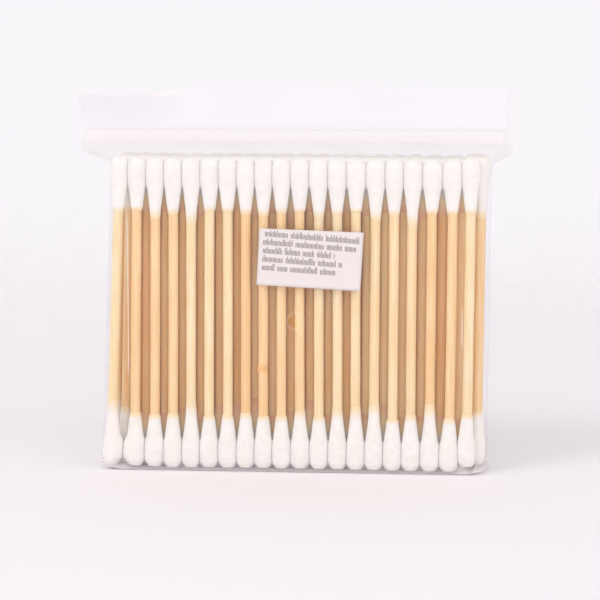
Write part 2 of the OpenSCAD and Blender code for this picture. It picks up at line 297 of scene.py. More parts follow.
def closureStrip():
    # Extruded polyethylene strip: milky, soft-edged and a little waxy
    material = emptyMaterial("extrudedPolyethyleneStrip")
    place = addNode(material, "ShaderNodeTexCoord")
    drawn = addNode(material, "ShaderNodeMapping", inputs={"Scale": (0.05, 1, 1)},
                    links={"Vector": place.outputs["Object"]})
    lines = addNode(material, "ShaderNodeTexNoise", inputs={"Scale": 1 / (0.4 * mm), "Detail": 2},
                    links={"Vector": drawn.outputs[0]})
    colour = addNode(material, "ShaderNodeMix", {"data_type": "RGBA"},
                     {"A": linear("#F5F3F4"), "B": linear("#F0EDEF")}, {"Factor": lines.outputs["Fac"]})
    drag = addNode(material, "ShaderNodeBump", inputs={"Strength": 0.15, "Distance": 0.02 * mm},
                   links={"Height": lines.outputs["Fac"]})
    shader = addNode(material, "ShaderNodeBsdfPrincipled",
                     inputs={"Roughness": 0.5, "IOR": 1.5, "Specular IOR Level": 0.3},
                     links={"Base Color": colour.outputs["Result"], "Normal": drag.outputs[0]})
    addNode(material, "ShaderNodeOutputMaterial", links={"Surface": shader.outputs[0]})
    return material


def labelPaper():
    # Uncoated white sticker paper: flat white with a faint rose tint and fine pulp
    material = emptyMaterial("uncoatedStickerPaper")
    place = addNode(material, "ShaderNodeTexCoord")
    pulp = addNode(material, "ShaderNodeTexNoise", inputs={"Scale": 1 / (0.3 * mm), "Detail": 3},
                   links={"Vector": place.outputs["Object"]})
    colour = addNode(material, "ShaderNodeMix", {"data_type": "RGBA"},
                     {"A": linear("#ECE3E2"), "B": linear("#E5DADA")}, {"Factor": pulp.outputs["Fac"]})
    grit = addNode(material, "ShaderNodeBump", inputs={"Strength": 0.3, "Distance": 0.02 * mm},
                   links={"Height": pulp.outputs["Fac"]})
    shader = addNode(material, "ShaderNodeBsdfPrincipled", inputs={"Roughness": 0.8},
                     links={"Base Color": colour.outputs["Result"], "Normal": grit.outputs[0]})
    addNode(material, "ShaderNodeOutputMaterial", links={"Surface": shader.outputs[0]})
    return material


def greyToner():
    # Thin grey print, a little uneven where it took badly
    material = emptyMaterial("thinGreyToner")
    place = addNode(material, "ShaderNodeTexCoord")
    wear = addNode(material, "ShaderNodeTexNoise", inputs={"Scale": 1 / (0.5 * mm), "Detail": 2},
                   links={"Vector": place.outputs["Object"]})
    colour = addNode(material, "ShaderNodeMix", {"data_type": "RGBA"},
                     {"A": linear("#564D52"), "B": linear("#7F757A")}, {"Factor": wear.outputs["Fac"]})
    shader = addNode(material, "ShaderNodeBsdfPrincipled", inputs={"Roughness": 0.7},
                     links={"Base Color": colour.outputs["Result"]})
    addNode(material, "ShaderNodeOutputMaterial", links={"Surface": shader.outputs[0]})
    return material


wood = birchWood()
cotton = woundCotton()
film = clearFilm()
strip = closureStrip()
paper = labelPaper()
toner = greyToner()
print("materials made")


# Sticks

stickSettings = {
    "around": 16,
    "ringStep": 3 * mm,
    "outOfRound": 0.03,     # share of the radius
    "unevenLength": 6 * mm,
    "bow": 0.12 * mm,
    "toneSpread": 0.75,
    "toneBend": 1.6,        # past 1, most sticks are pale and few are warm
    "innerPaintedShade": 0.3,       # painted shade: sticks inside the pack are painted warmer, as they look when lit through their neighbours
    "knotRow": 1,
    "knotStick": 8,         # counted from 0 at the left
    "knotHeight": 22.7 * mm,
    "knotLength": 1.6 * mm,
    "knotOut": 0.16 * mm,
    "knotLean": 1.2,        # how far the stick bends out at its knot, in swellings
    "knotTone": 0.9,
}


def frameAlong(direction):
    # Two unit vectors square to a direction
    side = direction.cross(Vector((0, 1, 0))).normalized()
    return side, direction.cross(side).normalized()


def makeSticks(row):
    s = stickSettings
    draw = random.Random(40 + row)
    points, faces, tonesAndShade = [], [], []
    for k, (foot, head) in enumerate(sticks[row]):
        axis = head - foot
        length = axis.length
        axis.normalize()
        side, depth = frameAlong(axis)
        rings = max(4, round(length / s["ringStep"]))
        bowTurn = draw.uniform(0, 2 * math.pi)
        bow = draw.uniform(0.2, 1) * s["bow"]
        bowWay = side * math.cos(bowTurn) + depth * math.sin(bowTurn)
        toneAndShade = draw.random() ** s["toneBend"] * s["toneSpread"]
        # Painted shade: the inner rows are painted warmer, as they look in the shade of the outer ones
        if row not in outerRows:
            toneAndShade = mix(toneAndShade, 1, s["innerPaintedShade"])
        start = len(points)
        knotted = row == s["knotRow"] and k == s["knotStick"]
        levels = [length * j / rings for j in range(rings + 1)]
        if knotted:
            levels += [s["knotHeight"] + s["knotLength"] * (j / 4 - 1) for j in range(9)]
            levels.sort()
        for along in levels:
            sway = bow * math.sin(math.pi * along / length)
            off = (along - s["knotHeight"]) / s["knotLength"]
            swell = s["knotOut"] * math.exp(-4 * off * off) if knotted else 0
            middle = foot + axis * along + bowWay * sway + side * swell * s["knotLean"]
            for j in range(s["around"]):
                turn = 2 * math.pi * j / s["around"]
                way = side * math.cos(turn) + depth * math.sin(turn)
                spot = Vector((row * 9 + k * 3.1 + math.cos(turn), math.sin(turn),
                               along / s["unevenLength"]))
                uneven = s["outOfRound"] * (0.5 + 0.5 * noise.noise(spot))
                points.append(middle + way * (stickRadius * (1 - uneven) + 0.5 * swell))
                tonesAndShade.append(min(1, toneAndShade + s["knotTone"] * swell / s["knotOut"]))
        faces += bands(start, s["around"], len(levels))
        faces.append(tuple(start + j for j in reversed(range(s["around"]))))
        faces.append(tuple(len(points) - s["around"] + j for j in range(s["around"])))
    piece = meshPiece(f"birchSticks_row_{row}", points, faces, wood, [f"sticks_row_{row}"])
    flatCaps(piece)
    store(piece, "toneAndShade", tonesAndShade)


firstStick = solidsOf("sticks_row_1")[0]
stickRadius = (firstStick[:, 1].max() - firstStick[:, 1].min()) / 2
for row in rowNumbers:
    makeSticks(row)
print("sticks made")


# Cotton tips

tipSettings = {
    "around": {"outer": 42, "inner": 22},
    "rings": {"end": 8, "belly": 6, "taper": 9, "sleeve": 6},
    "bluntRadius": 1.1 * mm,
    "endLength": 2 * mm,
    "bellyLength": 5.4 * mm,
    "taperLength": 4.8 * mm,
    "barrel": 0.45 * mm,        # how much slimmer a belly is at its upper end than at its middle
    "barrelFrom": 0.25,         # share of the belly's length where it starts to slim
    "sleeve": 0.18 * mm,        # thickness of the thin cotton at the end of the taper
    "sunk": 0.05 * mm,          # how far the sleeve's last edge goes into the wood
    "ragged": 0.5 * mm,         # how far the thin end's edge runs in and out
    # Where the wood begins to show through, before the taper's end. On the inner swabs it starts far up
    # the taper, as painted shade, so that their tapers, seen deep between the front tips, take the colour
    # of shaded wood
    "fadeBack": {"outer": 1.6 * mm, "inner": 5.5 * mm},
    # How deep the veil is at the thin end: past 1 it is painted shade, the colour of shaded wood
    "veilAndShadeDepth": {"outer": 1, "inner": 2.1},
    "soft": 1.6,                # a belly is pressed this much wider along its row
    "softLength": 3 * mm,       # from the blunt end to where it is pressed fully
    "thickFull": 0.7 * mm,      # cotton this much thicker than the sleeve is soft all through
    "pressed": 0.002 * mm,      # from a belly to the middle between it and its neighbour
    "outRoom": 0.02 * mm,       # how far a belly may stand out of its solid towards the film
    "reach": 6 * mm,            # swabs closer than this are neighbours
    "lumps": 0.03 * mm,
    "lumpSize": 1.7 * mm,
    "swirl": 0.015 * mm,
    "swirlRise": 1.1 * mm,
    "sizeSpread": 0.012,
}
midHeight = 38 * mm


def spotAt(ends, z):
    # Where a swab's axis passes a height, seen from above
    foot, head = ends
    share = (z - foot.z) / (head.z - foot.z)
    return mix(foot.x, head.x, share), mix(foot.y, head.y, share)


def neighboursOf(row, k):
    # The swabs that a swab may press against
    own = spotAt(sticks[row][k], midHeight)
    found = []
    for other in (row - 1, row, row + 1):
        for ends in sticks.get(other, []):
            if 0 < math.dist(own, spotAt(ends, midHeight)) < tipSettings["reach"]:
                found.append(ends)
    return found


def wallsAt(row, k, z, neighbours):
    # Directions from a swab's axis in which its belly ends early, and how far out
    s = tipSettings
    own = spotAt(sticks[row][k], z)
    walls = []
    for ends in neighbours:
        other = spotAt(ends, z)
        away = math.dist(own, other)
        walls.append(((other[0] - own[0]) / away, (other[1] - own[1]) / away, away / 2 - s["pressed"]))
    return walls


def tipProfile(bellyRadius, sleeveLength):
    # Places along the tip from its blunt end, with the radius there, and the place where the taper ends
    s = tipSettings
    rings = s["rings"]
    shape = []
    for k in range(rings["end"] + 1):
        turn = math.pi / 2 * k / rings["end"]
        shape.append((s["endLength"] * (1 - math.cos(turn)),
                      mix(s["bluntRadius"], bellyRadius, math.sin(turn))))
    for k in range(1, rings["belly"] + 1):
        share = k / rings["belly"]
        slim = max(0, share - s["barrelFrom"]) / (1 - s["barrelFrom"])
        shape.append((s["endLength"] + s["bellyLength"] * share, bellyRadius - s["barrel"] * slim ** 2))
    for k in range(1, rings["taper"] + 1):
        share = k / rings["taper"]
        shape.append((s["endLength"] + s["bellyLength"] + s["taperLength"] * share,
                      mix(bellyRadius - s["barrel"], stickRadius + s["sleeve"], share)))
    taperEnd = s["endLength"] + s["bellyLength"] + s["taperLength"]
    for k in range(1, rings["sleeve"] + 1):
        share = k / rings["sleeve"]
        shape.append((taperEnd + sleeveLength * share,
                      stickRadius + s["sleeve"] * (1 - share) ** 0.7 - s["sunk"] * share))
    return shape, taperEnd


def measureTip(solid, stickEnd, axis):
    # A tip's blunt end, its largest radius and its length
    way = np.array(axis)
    along = (solid - np.array(stickEnd)) @ way
    end = stickEnd + axis * along.min()
    fromEnd = solid - np.array(end)
    out = np.linalg.norm(fromEnd - np.outer(fromEnd @ way, way), axis=1)
    return end, out.max(), along.max() - along.min()


def hollowAt(local, spot, wound):
    # How far the cotton sinks at a place, in lumps and in the turns of its winding
    s = tipSettings
    lump = 0.6 * noise.noise(local + spot) + 0.4 * noise.noise(local * 2.3 + spot)
    return s["lumps"] * (0.5 + 0.5 * lump) + s["swirl"] * (0.5 + 0.5 * math.sin(wound))


def pressedIn(out, walls):
    # Takes a point of a belly back to where its neighbours and the film stop it
    for wallX, wallY, most in walls:
        over = out.x * wallX + out.y * wallY - most
        if over > 0:
            out -= Vector((wallX * over, wallY * over, 0))
    return out


def makeTips(name, row, solids, pointsUp, nodeName):
    s = tipSettings
    draw = random.Random(90 + row + (50 if pointsUp else 0))
    around = s["around"]["outer" if row in outerRows else "inner"]
    outSide = {outerRows[0]: -1, outerRows[1]: 1}.get(row, 0)
    points, faces, thins = [], [], []
    for k, solid in enumerate(solids):
        neighbours = neighboursOf(row, k)
        depthKind = "outer" if row in outerRows or k in (0, len(solids) - 1) else "inner"
        fadeBack = s["fadeBack"][depthKind]
        foot, head = sticks[row][k]
        axis = (head - foot).normalized()
        if pointsUp:
            axis = -axis
        side, depth = frameAlong(axis)
        end, most, whole = measureTip(solid, head if pointsUp else foot, axis)
        bellyRadius = most * (1 - s["sizeSpread"] * draw.random())
        sleeveLength = whole - s["endLength"] - s["bellyLength"] - s["taperLength"]
        shape, taperEnd = tipProfile(bellyRadius, sleeveLength)
        swirlTurn = draw.uniform(0, 6)
        spot = Vector((10 * row + 3 * k, 50 if pointsUp else 0, 0))
        start = len(points)
        points.append(end)
        thins.append(0)
        for place, radius in shape:
            walls = wallsAt(row, k, (end + axis * place).z, neighbours)
            if outSide:
                walls.append((0, outSide, most + s["outRoom"]))
            thick = min(1, max(0, (radius - stickRadius - s["sleeve"]) / s["thickFull"]))
            wider = mix(1, s["soft"], thick * smooth(place / s["softLength"]))
            past = max(0, place - taperEnd) / max(sleeveLength, 0.1 * mm)
            # Painted shade: on the inner swabs the veil runs far up the taper and deepens past 1, to the
            # colour of shaded wood
            thin = max(0, s["veilAndShadeDepth"][depthKind] * (place - taperEnd + fadeBack)
                       / (fadeBack + sleeveLength))
            for j in range(around):
                turn = 2 * math.pi * j / around
                way = side * math.cos(turn) + depth * math.sin(turn)
                local = way * (radius / s["lumpSize"]) + axis * (place / s["lumpSize"])
                wound = 3 * turn + swirlTurn + place / s["swirlRise"]
                out = way * (radius - thick * hollowAt(local, spot, wound))
                besideInRow = k if out.x < 0 else len(solids) - 1 - k
                if besideInRow:
                    out.x *= wider
                edge = past * s["ragged"] * noise.noise(way * 2.2 + spot * 1.7)
                points.append(end + axis * (place + edge) + pressedIn(out, walls))
                thins.append(thin)
        faces += [(start, start + 1 + (j + 1) % around, start + 1 + j) for j in range(around)]
        faces += bands(start + 1, around, len(shape))
        faces.append(tuple(len(points) - around + j for j in range(around)))
    piece = meshPiece(name, points, faces, cotton, [nodeName])
    flatCaps(piece)
    piece.data.set_sharp_from_angle(angle=math.radians(28))
    store(piece, "thin", thins)


for row in rowNumbers:
    makeTips(f"upperCotton_row_{row}", row, upperTips[row], True, f"upper_tips_row_{row}")
    makeTips(f"lowerCotton_row_{row}", row, lowerTips[row], False, f"lower_tips_row_{row}")
print("cotton tips made")


# Film bag

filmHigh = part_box("bag_film")[1]
stripLow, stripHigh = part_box("closure_channel")
tipRadius = np.ptp(lowerTips[1][0][:, 1]) / 2
filmSettings = {
    "gap": 0.15 * mm,            # from the tips to the middle of the film
    "footRound": 1.5 * mm,
    "footDraw": 3 * mm,
    "footEndRise": 0.4 * mm,
    "weldOut": 0.4 * mm,
    "weldWidth": 1 * mm,
    "weldInset": 0.3 * mm,
    "closedHalf": 0.8 * mm,
    "lipsHalf": 0.3 * mm,
    "lipsOpen": 0.65 * mm,
    "lipCurl": 3 * mm,
    "lipWave": 0.35 * mm,
    "lipWaveTurn": 11,           # degrees for each millimetre across
    "lipRise": 0.25 * mm,
    "cornerDrop": 2 * mm,
    "gableBulge": 2.2,           # 2 is round, and more is fuller
    "gableFold": 0.05,
    "gableRise": 0.25 * mm,
    "earBelow": 2.3 * mm,
    "earAbove": 0.9 * mm,
    "columnReach": 41 * mm,
    "columnStep": 0.55 * mm,
    "levelStep": 1 * mm,
    "endColumns": 8,
    "arcPoints": 8,
    "rings": {"foot": 7, "gable": 21, "closure": 3, "lips": 14},
    "scallop": 0.22 * mm,        # how far the film sinks between two tips
    "waist": 0.35 * mm,          # how far it sinks where only sticks stand behind it
    # From the swabs' ends to where each starts to change, and how softly it does
    "tipZone": (8 * mm, 7 * mm),
    "stickZone": (9 * mm, 12 * mm),
    "wrinkle": 0.16 * mm,
    "wrinkleSize": (11 * mm, 26 * mm),      # across and up
    "fineWrinkleSize": (4 * mm, 17 * mm),
    "endSink": 0.25 * mm,        # how far the film's two ends sink in
    "endFrom": 40 * mm,
    "ventX": 0.8 * mm,
    "ventZ": 36.7 * mm,
    "ventRadius": 1.75 * mm,
    "ventStep": 0.22 * mm,
    "ventRing": 0.22,
    "hazeAndSheenFrom": 64 * mm,         # the film turns milky from here up, where it leaves the tips, partly as painted sheen in place of the gable's reflection of the lamps
    "hazeAndSheenFull": 74 * mm,
    "gableHazeAndSheen": 0.13,
    "lipHaze": 0.06,
    "footHaze": 0.45,            # the rounded edge at the ground, up to this height
    "footHazeTop": 2.2 * mm,
    "endHighlight": 0.35,             # painted highlight: its two ends are painted milky white, and higher up, over the shade under the end swabs
    "endHighlightTop": 4.5 * mm,
    "endHighlightFrom": 38 * mm,
    "weldHaze": 0.08,
    "streakHighlight": 0.6,
    # Upright painted highlights, milky white streaks where the film catches light: place across, lowest,
    # highest and half width
    "streaks": ((-39.3 * mm, 22 * mm, 63 * mm, 0.2 * mm), (40.6 * mm, 29 * mm, 41 * mm, 0.25 * mm)),
    "rimStreak": (-36 * mm, -25.5 * mm),     # painted highlight along the curled rim, between these places
}
halfDepth = filmHigh.y
flatHalfWidth = filmHigh.x


def lineAt(ends, z):
    foot, head = ends
    return foot.x + (head.x - foot.x) * (z - foot.z) / (head.z - foot.z)


def endSwab(pick):
    return pick((ends for row in rowNumbers for ends in sticks[row]), key=lambda e: e[0].x + e[1].x)


leftSwab, rightSwab = endSwab(min), endSwab(max)
endRoom = tipRadius + filmSettings["gap"]
headTop = max(points[:, 2].max() for row in rowNumbers for points in upperTips[row])
shoulderHeight = headTop - tipSettings["endLength"]
wallSwabs = {"front": sticks[rowNumbers[0]], "back": sticks[rowNumbers[-1]]}


def spaced(low, high, step, finer):
    # Even places from low to high, and closer ones round each place of finer: (middle, reach, step)
    count = round((high - low) / step)
    places = [mix(low, high, k / count) for k in range(count + 1)]
    for middle, reach, close in finer:
        places = [p for p in places if abs(p - middle) > reach + close / 2]
        count = round(reach / close)
        places += [middle + close * k for k in range(-count, count + 1)]
    return sorted(places)


ventReach = filmSettings["ventRadius"] + 4 * filmSettings["ventStep"]
wallColumns = spaced(-filmSettings["columnReach"], filmSettings["columnReach"],
                     filmSettings["columnStep"],
                     [(filmSettings["ventX"], ventReach, filmSettings["ventStep"])]
                     + [(x, 2 * width, width / 2) for x, _, _, width in filmSettings["streaks"]])


def cornerArc(x, weld, half, radius):
    # From the flat wall at depth -half round the corner to where the side runs straight to its weld
    awayX, awayY = weld - x + radius, half - radius
    stop = math.atan2(awayY, awayX) - math.acos(min(1, radius / math.hypot(awayX, awayY)))
    arc = []
    for k in range(filmSettings["arcPoints"] + 1):
        turn = mix(-math.pi / 2, stop, k / filmSettings["arcPoints"])
        arc.append((x - radius + radius * math.cos(turn), radius - half + radius * math.sin(turn)))
    return arc


def ringAt(x0, x1, half, weld0, weld1, radius):
    # Plan of the film at one height. Its columns stay at the same places across the bag.
    s = filmSettings
    radius = min(radius, 0.98 * half)
    right = cornerArc(x1, weld1, half, radius)
    left = [(-x, y) for x, y in reversed(cornerArc(-x0, -weld0, half, radius))]
    reach, count = s["columnReach"], s["endColumns"]
    leftEnd = [mix(x0 + radius, -reach, k / (count + 1)) for k in range(1, count + 1)]
    rightEnd = [mix(reach, x1 - radius, k / (count + 1)) for k in range(1, count + 1)]
    wall = [(x, -half) for x in leftEnd + wallColumns + rightEnd]
    front = left + wall + right
    return [(weld0, 0)] + front + [(weld1, 0)] + [(x, -y) for x, y in reversed(front)]


def leftPart(x):
    return smooth((-x / flatHalfWidth - 0.35) / 0.5)


def heldRing(z, drawX, drawY):
    s = filmSettings
    x0 = lineAt(leftSwab, z) - endRoom + drawX
    x1 = lineAt(rightSwab, z) + endRoom - drawX
    return ringAt(x0, x1, halfDepth - drawY, x0 - s["weldOut"], x1 + s["weldOut"], endRoom - drawY / 2)


def flatRing(z, half, share):
    s = filmSettings
    reach = flatHalfWidth - s["weldWidth"] - s["weldInset"]
    spread = smooth(share * share)
    ear = smooth((z - headTop + s["earBelow"]) / (s["earBelow"] + s["earAbove"]))
    x0 = mix(lineAt(leftSwab, z) - endRoom, -reach, spread)
    x1 = mix(lineAt(rightSwab, z) + endRoom, reach, spread)
    weld0 = mix(lineAt(leftSwab, z) - endRoom - s["weldOut"], -flatHalfWidth, ear)
    weld1 = mix(lineAt(rightSwab, z) + endRoom + s["weldOut"], flatHalfWidth, ear)
    return ringAt(x0, x1, half, min(weld0, x0), max(weld1, x1), endRoom)


def behind(x, z, side):
    # How far the film may sink at a place of the front or back wall: 0 over a swab, 1 between two
    places = [lineAt(ends, z) for ends in wallSwabs[side]]
    for a, b in zip(places, places[1:]):
        if a <= x <= b:
            return math.sin(math.pi * (x - a) / (b - a)) ** 2
    return 0


def midShare(z, skipped, blend):
    # 0 near both ends of the swabs and 1 between them
    return smooth((z - skipped) / blend) * smooth((headTop - skipped - z) / blend)


def sag(x, y, z):
    # Inward move of the wall film: between tips, over the sticks, and in wrinkles
    s = filmSettings
    between = behind(x, z, "front" if y < 0 else "back")
    waist = midShare(z, *s["stickZone"])
    seed = 0 if y < 0 else 40
    across, up = s["wrinkleSize"]
    long = noise.noise(Vector((x / across + seed, 7, z / up)))
    across, up = s["fineWrinkleSize"]
    fine = noise.noise(Vector((x / across + seed, 3, z / up)))
    move = s["scallop"] * (1 - midShare(z, *s["tipZone"])) * between
    move += s["waist"] * waist * (0.55 + 0.45 * between)
    move += s["wrinkle"] * waist * (long + 0.5 * fine)
    return move


def filmLevels():
    # Each ring of the film from the ground up: its part, its height and its share of that part
    s = filmSettings
    rings = s["rings"]
    levels = []
    for k in range(rings["foot"] + 1):
        turn = math.pi / 2 * k / rings["foot"]
        levels.append(("foot", s["footRound"] * (1 - math.cos(turn)), 1 - math.sin(turn)))
    heights = spaced(s["footRound"], shoulderHeight, s["levelStep"],
                     [(s["ventZ"], ventReach, s["ventStep"])])
    levels += [("wall", z, 0) for z in heights[1:-1]]
    for k in range(rings["gable"] + 1):
        share = k / rings["gable"]
        levels.append(("gable", mix(shoulderHeight, stripLow.z, share), share))
    for k in range(1, rings["closure"] + 1):
        levels.append(("closure", mix(stripLow.z, stripHigh.z, k / rings["closure"]), 0))
    for k in range(1, rings["lips"] + 1):
        share = k / rings["lips"]
        levels.append(("lips", mix(stripHigh.z, filmHigh.z, share), share))
    return levels


def wallPoint(kind, x, y, z, share):
    # The ground edge rises towards both ends of the bag, and the walls sag in between the swabs
    s = filmSettings
    if kind == "foot":
        corner = endRoom - s["footRound"] / 2
        level = s["footDraw"] + corner
        past = max(0, lineAt(leftSwab, 0) - endRoom + level - x,
                   x + level - lineAt(rightSwab, 0) - endRoom)
        z += s["footEndRise"] * share * past / corner
    aside = smooth((halfDepth - abs(y)) / (0.5 * mm))
    under = smooth((shoulderHeight - z) / (4 * mm))
    move = sag(x, y, z) * (1 - aside) * smooth(z / (6 * mm)) * under
    y += move if y < 0 else -move
    if kind == "wall":
        end = smooth((abs(x) - s["endFrom"]) / (4 * mm)) * aside * under
        dent = 0.5 + 0.5 * noise.noise(Vector((y / (5 * mm), 11, z / (15 * mm))))
        x -= math.copysign(1, x) * end * s["endSink"] * dent
    return x, y, z


def gablePoint(x, y, z, share):
    # The gable folds in a little above the tips, and hardly beside them
    s = filmSettings
    pull = math.sin(math.pi * share)
    fold = noise.noise(Vector((x / (5 * mm), 21 if y < 0 else 61, share * 1.2)))
    rise = noise.noise(Vector((x / (7 * mm), 5 if y < 0 else 15, 0)))
    y *= 1 - s["gableFold"] * pull * smooth(share / 0.4) * (0.5 + fold)
    return x, y, z + pull * s["gableRise"] * rise


def lipPoint(x, y, z, share):
    # The lips wave, and their left corner curls forward and hangs
    s = filmSettings
    left = leftPart(x)
    wave = s["lipWave"] * (math.sin(math.radians(s["lipWaveTurn"]) * x / mm)
                           + 1.2 * noise.noise(Vector((x / (16 * mm), 2, share)))
                           + 0.3 * noise.noise(Vector((x / (9 * mm), 8 if y < 0 else 18, share))))
    y += share * wave - s["lipCurl"] * share * share * left
    z -= s["cornerDrop"] * share * left
    return x, y, z + s["lipRise"] * share * noise.noise(Vector((x / (14 * mm), 31, 0)))


def filmPoint(kind, x, y, z, share):
    if kind in ("foot", "wall"):
        x, y, z = wallPoint(kind, x, y, z, share)
    elif kind == "gable":
        x, y, z = gablePoint(x, y, z, share)
    elif kind == "lips":
        x, y, z = lipPoint(x, y, z, share)
    return x, y, min(z, filmHigh.z)


def fromVent(x, z):
    return math.hypot(x - filmSettings["ventX"], z - filmSettings["ventZ"])


def hazeAndHighlightAt(kind, x, y, z, share):
    # How milky the film is at a place, where it is creased or folded, with painted highlights where it
    # catches the light and painted sheen on the gable. Away from its streaks it stays under 0.25 on the
    # flap and over the tips, because the denoiser draws a thin line where it passes that.
    s = filmSettings
    patch = noise.noise(Vector((x / (9 * mm), 3 if y < 0 else 33, z / (5 * mm))))
    # Over the gable the milkiness is partly painted sheen, standing in for the reflection of the lamps
    haze = s["gableHazeAndSheen"] * smooth((z - s["hazeAndSheenFrom"]) / (s["hazeAndSheenFull"] - s["hazeAndSheenFrom"]))
    if kind == "lips":
        haze = s["lipHaze"]
    haze *= 1 + 0.4 * patch
    haze += s["footHaze"] * smooth(1 - z / s["footHazeTop"])
    # Painted highlight: the film at both ends of the foot is painted milky white where the end swabs'
    # shade falls
    atEnd = smooth((abs(x) - s["endHighlightFrom"]) / (3 * mm))
    haze += s["endHighlight"] * atEnd * smooth(1 - z / s["endHighlightTop"])
    if y < 0:
        # Painted highlights: milky white streaks where the film catches the light, and one along the
        # curled rim
        for place, low, high, width in s["streaks"]:
            along = smooth((z - low) / (4 * mm)) * smooth((high - z) / (4 * mm))
            haze += s["streakHighlight"] * along * max(0, 1 - abs(x - place) / width)
        haze += s["ventRing"] * max(0, 1 - abs(fromVent(x, z) - s["ventRadius"]) / (2 * s["ventStep"]))
        left, right = s["rimStreak"]
        if kind == "lips" and left < x < right:
            haze += s["streakHighlight"] * smooth((share - 0.8) / 0.15) * math.sin(
                math.pi * (x - left) / (right - left))
    return haze


def cutVent(points, faces):
    # Takes the faces inside the vent out of the front wall and rounds the edge that they leave
    s = filmSettings
    kept, edge = [], set()
    for face in faces:
        x, y, z = (sum(points[k][axis] for k in face) / len(face) for axis in range(3))
        if y < 0 and fromVent(x, z) < s["ventRadius"]:
            edge.update(face)
        else:
            kept.append(face)
    inKept = {k for face in kept for k in face}
    for k in edge & inKept:
        x, y, z = points[k]
        scale = s["ventRadius"] / fromVent(x, z)
        points[k] = (s["ventX"] + (x - s["ventX"]) * scale, y, s["ventZ"] + (z - s["ventZ"]) * scale)
    return kept


def withoutLoose(points, faces, values):
    # Leaves out the points that no face uses
    used = sorted({k for face in faces for k in face})
    place = {k: n for n, k in enumerate(used)}
    return ([points[k] for k in used], [tuple(place[k] for k in face) for face in faces],
            [values[k] for k in used])


def filmRing(kind, z, share):
    # Plan of the film at one height of one of its parts
    s = filmSettings
    if kind == "foot":
        return heldRing(z, s["footDraw"] * share, s["footRound"] * share)
    if kind == "wall":
        return heldRing(z, 0, 0)
    if kind == "gable":
        bulge = s["gableBulge"]
        return flatRing(z, mix(s["closedHalf"], halfDepth, (1 - share ** bulge) ** (1 / bulge)), share)
    if kind == "closure":
        return flatRing(z, s["closedHalf"], 1)
    return flatRing(z, mix(s["lipsHalf"], s["lipsOpen"], share * share), 1)


def makeFilm():
    rings, hazesAndHighlights = [], []
    for kind, z, share in filmLevels():
        ring = [filmPoint(kind, x, y, z, share) for x, y in filmRing(kind, z, share)]
        rings.append(ring)
        hazesAndHighlights += [hazeAndHighlightAt(kind, *point, share) for point in ring]
        for k in (0, len(ring) // 2):
            hazesAndHighlights[k - len(ring)] += filmSettings["weldHaze"]
    around = len(rings[0])
    half = around // 2
    points = [point for ring in rings for point in ring]
    # The ground film joins the front and the back of the lowest ring
    faces = [(0, 1, around - 1)]
    faces += [(k, k + 1, around - k - 1, around - k) for k in range(1, half - 1)]
    faces.append((half - 1, half, half + 1))
    faces += bands(0, around, len(rings))
    points, faces, hazesAndHighlights = withoutLoose(points, cutVent(points, faces), hazesAndHighlights)
    piece = meshPiece("clearBag", points, faces, film, ["bag_film"])
    for face in piece.data.polygons:
        # Flat beside a weld, where the two walls meet in a sharp edge
        face.use_smooth = max(abs(points[k][0]) for k in face.vertices) < flatHalfWidth - 0.2 * mm
    store(piece, "crease", hazesAndHighlights)


makeFilm()
for name in ("closure_channel", "closure_rib"):
    nodes[name].data.materials.clear()
    nodes[name].data.materials.append(strip)
print("film made")


# Label

labelSettings = {
    "across": 30,
    "up": 18,
    "thickness": 0.1 * mm,
    "lift": 0.35 * mm,          # how far the lower right corner comes away
    "margin": 1.1 * mm,
    "firstLine": 1.3 * mm,      # from the label's top to the middle of its first line
    "lineStep": 2.03 * mm,
    "lineLengths": (22.9, 22.2, 17, 19, 18),    # mm
    "strokeWidth": 0.15 * mm,
    "strokeStep": 0.31 * mm,
    "strokeHeights": (1.05, 1.1, 1.1, 1.15, 1.6),  # mm
    "wordStrokes": (8, 26),
    "wordGap": 0.6 * mm,
    "slant": (0.04, 0.022),     # how steeply the first and the last line run down
}


def labelCorners():
    corners = np.array([tuple(v.co) for v in nodes["label"].data.vertices])
    front = corners[corners[:, 1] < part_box("label")[0].y + 0.02 * mm]
    middle = front.mean(0)
    found = {}
    for name, (across, up) in {"bottomLeft": (-1, -1), "bottomRight": (1, -1), "topRight": (1, 1),
                               "topLeft": (-1, 1)}.items():
        score = (front[:, 0] - middle[0]) * across + (front[:, 2] - middle[2]) * up
        found[name] = Vector(front[score.argmax()])
    return found


corners = labelCorners()


def onLabel(u, v, out=0):
    # u runs from the left edge to the right one, v from the lower edge to the upper one
    low = corners["bottomLeft"].lerp(corners["bottomRight"], u)
    high = corners["topLeft"].lerp(corners["topRight"], u)
    spot = low.lerp(high, v)
    wave = 0.05 * mm * math.sin(9 * u + 2 * v)
    curl = labelSettings["lift"] * smooth((u - v - 0.35) / 0.65) ** 2
    return Vector((spot.x, spot.y - curl + wave * (1 - v) - out, spot.z))


def makeLabel():
    s = labelSettings
    points, faces = [], []
    for back in (0, 1):
        for j in range(s["up"] + 1):
            for k in range(s["across"] + 1):
                points.append(onLabel(k / s["across"], j / s["up"], -s["thickness"] * back * 0.9))
    wide = s["across"] + 1
    size = wide * (s["up"] + 1)
    for j in range(s["up"]):
        for k in range(s["across"]):
            a = j * wide + k
            faces.append((a, a + 1, a + wide + 1, a + wide))
            faces.append((size + a, size + a + wide, size + a + wide + 1, size + a + 1))
    rim = list(range(wide))
    rim += [j * wide + wide - 1 for j in range(1, s["up"] + 1)]
    rim += [s["up"] * wide + k for k in range(wide - 2, -1, -1)]
    rim += [j * wide for j in range(s["up"] - 1, 0, -1)]
    for a, b in zip(rim, rim[1:] + rim[:1]):
        faces.append((b, a, size + a, size + b))
    meshPiece("paperLabel", points, faces, paper, ["label"])


